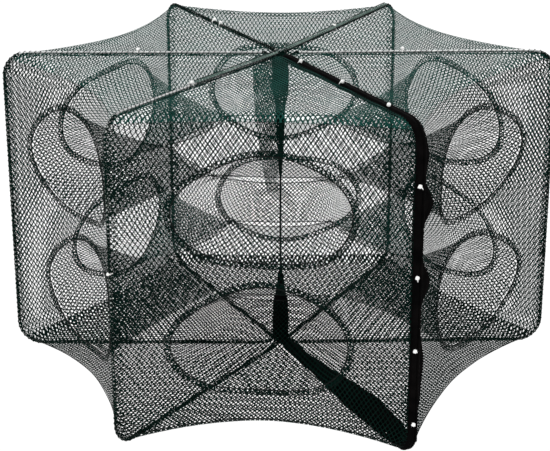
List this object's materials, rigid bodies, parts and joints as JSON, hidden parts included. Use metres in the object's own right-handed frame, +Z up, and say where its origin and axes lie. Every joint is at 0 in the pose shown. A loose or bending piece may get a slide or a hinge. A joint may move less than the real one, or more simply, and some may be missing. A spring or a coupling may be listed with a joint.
{
  "type": "folding crab trap",
  "caption": "Folding net trap: wire page frames open round a spine, closed by net walls with paired funnel entrances and a hook-and-loop closure.",
  "frame": {"origin": "centre of the base of the trap's bounding box; the spine stands 0.1 mm along X and 4.0 mm along Y from it", "axes": "+Z up along the spine, +X towards page 2, +Y towards the back sector, sector 3"},
  "size_m": [0.8718, 0.7786, 0.5],
  "materials": {
    "frame_wire": "galvanised steel wire, bare",
    "netting": "knotless nylon netting, black with a dark green cast",
    "closure_tape": "hook-and-loop tape, matt black",
    "spine_cord": "black braided cord",
    "tie_thread": "white nylon thread, knotted"
  },
  "bodies": {
    "page_1": {"page_frame_1": "frame_wire", "closure_tape_1": "closure_tape", "wall_net_1": "netting", "top_net_1": "netting", "bottom_net_1": "netting", "upper_funnel_1": "netting", "lower_funnel_1": "netting", "spine_cord_1": "spine_cord"},
    "page_2": {"page_frame_2": "frame_wire", "wall_net_2": "netting", "top_net_2": "netting", "bottom_net_2": "netting", "upper_funnel_2": "netting", "lower_funnel_2": "netting", "spine_cord_2": "spine_cord", "upper_tie_2": "tie_thread", "lower_tie_2": "tie_thread"},
    "page_3": {"page_frame_3": "frame_wire", "wall_net_3": "netting", "top_net_3": "netting", "bottom_net_3": "netting", "upper_funnel_3": "netting", "lower_funnel_3": "netting", "spine_cord_3": "spine_cord", "upper_tie_3": "tie_thread", "lower_tie_3": "tie_thread"},
    "page_4": {"page_frame_4": "frame_wire", "wall_net_4": "netting", "top_net_4": "netting", "bottom_net_4": "netting", "upper_funnel_4": "netting", "lower_funnel_4": "netting", "spine_cord_4": "spine_cord", "upper_tie_4": "tie_thread", "lower_tie_4": "tie_thread"},
    "page_5": {"page_frame_5": "frame_wire", "wall_net_5": "netting", "top_net_5": "netting", "bottom_net_5": "netting", "upper_funnel_5": "netting", "lower_funnel_5": "netting", "spine_cord_5": "spine_cord", "upper_tie_5": "tie_thread", "lower_tie_5": "tie_thread"},
    "page_6": {"page_frame_6": "frame_wire", "wall_net_6": "netting", "top_net_6": "netting", "bottom_net_6": "netting", "upper_funnel_6": "netting", "lower_funnel_6": "netting", "spine_cord_6": "spine_cord", "upper_tie_6": "tie_thread", "lower_tie_6": "tie_thread"},
    "page_7": {"page_frame_7": "frame_wire", "closure_tape_7": "closure_tape"}
  },
  "joints": [
    {"name": "fold_1", "type": "hinge", "parent": "page_1", "child": "page_2", "pos_m": [0.00767, 0.00061, 0.25], "axis": [0, 0, -1], "range_deg": [0, 66], "deforming": ["wall_net_1", "top_net_1", "bottom_net_1", "upper_funnel_1", "lower_funnel_1"]},
    {"name": "fold_2", "type": "hinge", "parent": "page_2", "child": "page_3", "pos_m": [0.00673, 0.0081, 0.25], "axis": [0, 0, -1], "range_deg": [0, 60], "deforming": ["wall_net_2", "top_net_2", "bottom_net_2", "upper_funnel_2", "lower_funnel_2"]},
    {"name": "fold_3", "type": "hinge", "parent": "page_3", "child": "page_4", "pos_m": [0.00012, 0.01191, 0.25], "axis": [0, 0, -1], "range_deg": [0, 56], "deforming": ["wall_net_3", "top_net_3", "bottom_net_3", "upper_funnel_3", "lower_funnel_3"]},
    {"name": "fold_4", "type": "hinge", "parent": "page_4", "child": "page_5", "pos_m": [-0.00649, 0.00794, 0.25], "axis": [0, 0, -1], "range_deg": [0, 62], "deforming": ["wall_net_4", "top_net_4", "bottom_net_4", "upper_funnel_4", "lower_funnel_4"]},
    {"name": "fold_5", "type": "hinge", "parent": "page_5", "child": "page_6", "pos_m": [-0.00683, 0.00019, 0.25], "axis": [0, 0, -1], "range_deg": [0, 57], "deforming": ["wall_net_5", "top_net_5", "bottom_net_5", "upper_funnel_5", "lower_funnel_5"]},
    {"name": "fold_6", "type": "hinge", "parent": "page_6", "child": "page_7", "pos_m": [-0.00144, -0.00438, 0.25], "axis": [0, 0, -1], "range_deg": [0, 59], "deforming": ["wall_net_6", "top_net_6", "bottom_net_6", "upper_funnel_6", "lower_funnel_6"]}
  ]
}
